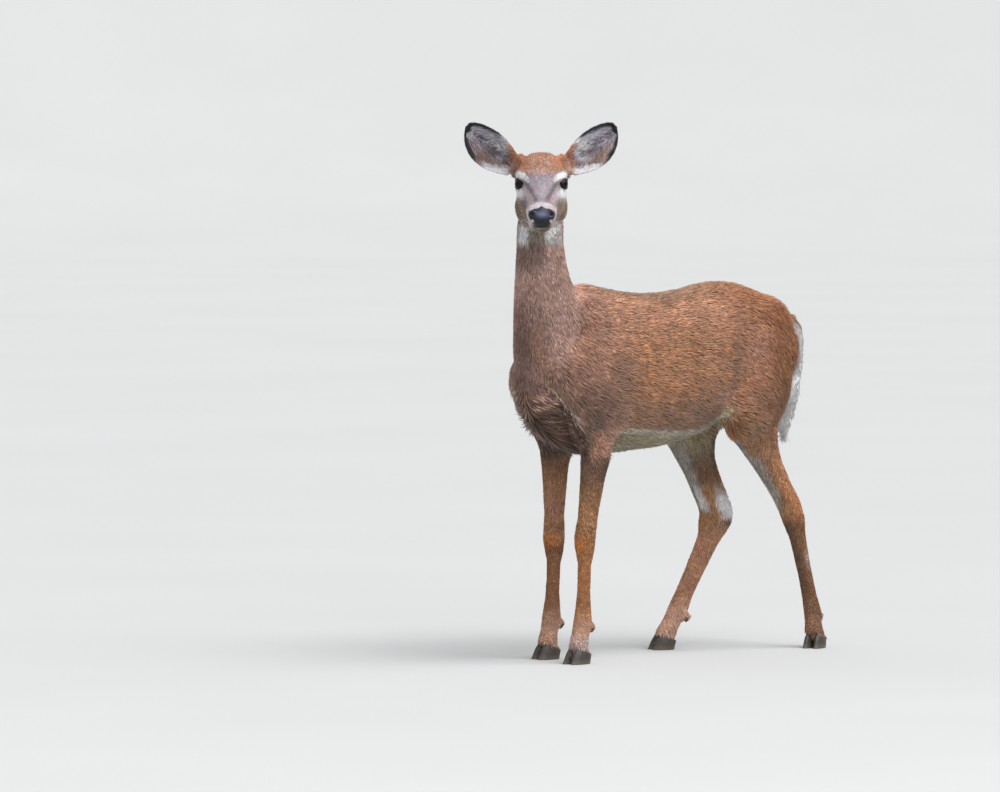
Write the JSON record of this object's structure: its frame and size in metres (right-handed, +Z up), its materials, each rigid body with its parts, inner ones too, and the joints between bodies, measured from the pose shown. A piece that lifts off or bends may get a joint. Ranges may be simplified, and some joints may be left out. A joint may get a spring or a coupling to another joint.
{
  "type": "white-tailed deer model",
  "caption": "Life-size still model of a young white-tailed deer, standing on four legs with its head turned to its left and its ears up.",
  "frame": {"origin": "middle of the model's bounding box, on the ground under the hooves", "axes": "+Z up; the trunk lies along Y with the tail at +Y and the breast at -Y; the deer's left side is +X; the head is turned 50 degrees to its left"},
  "size_m": [0.3462, 0.91, 1.1134],
  "materials": {
    "hair": "short reddish brown deer hair, matt",
    "tail_hair": "longer brown and white hair, matt",
    "horn": "dark horn of hooves, slightly shiny",
    "eye": "wet dark brown eye"
  },
  "bodies": {
    "root": {"dewclaw_foreleg_left_inner": "horn", "dewclaw_foreleg_left_outer": "horn", "dewclaw_foreleg_right_inner": "horn", "dewclaw_foreleg_right_outer": "horn", "dewclaw_hindleg_left_inner": "horn", "dewclaw_hindleg_left_outer": "horn", "dewclaw_hindleg_right_inner": "horn", "dewclaw_hindleg_right_outer": "horn", "ear_left": "hair", "ear_right": "hair", "eye_left": "eye", "eye_right": "eye", "foreleg_left_lower": "hair", "foreleg_left_upper": "hair", "foreleg_right_lower": "hair", "foreleg_right_upper": "hair", "head": "hair", "hindleg_left_lower": "hair", "hindleg_left_upper": "hair", "hindleg_right_lower": "hair", "hindleg_right_upper": "hair", "hoof_foreleg_left_inner": "horn", "hoof_foreleg_left_outer": "horn", "hoof_foreleg_right_inner": "horn", "hoof_foreleg_right_outer": "horn", "hoof_hindleg_left_inner": "horn", "hoof_hindleg_left_outer": "horn", "hoof_hindleg_right_inner": "horn", "hoof_hindleg_right_outer": "horn", "neck": "hair", "tail": "tail_hair", "trunk": "hair"}
  },
  "joints": []
}
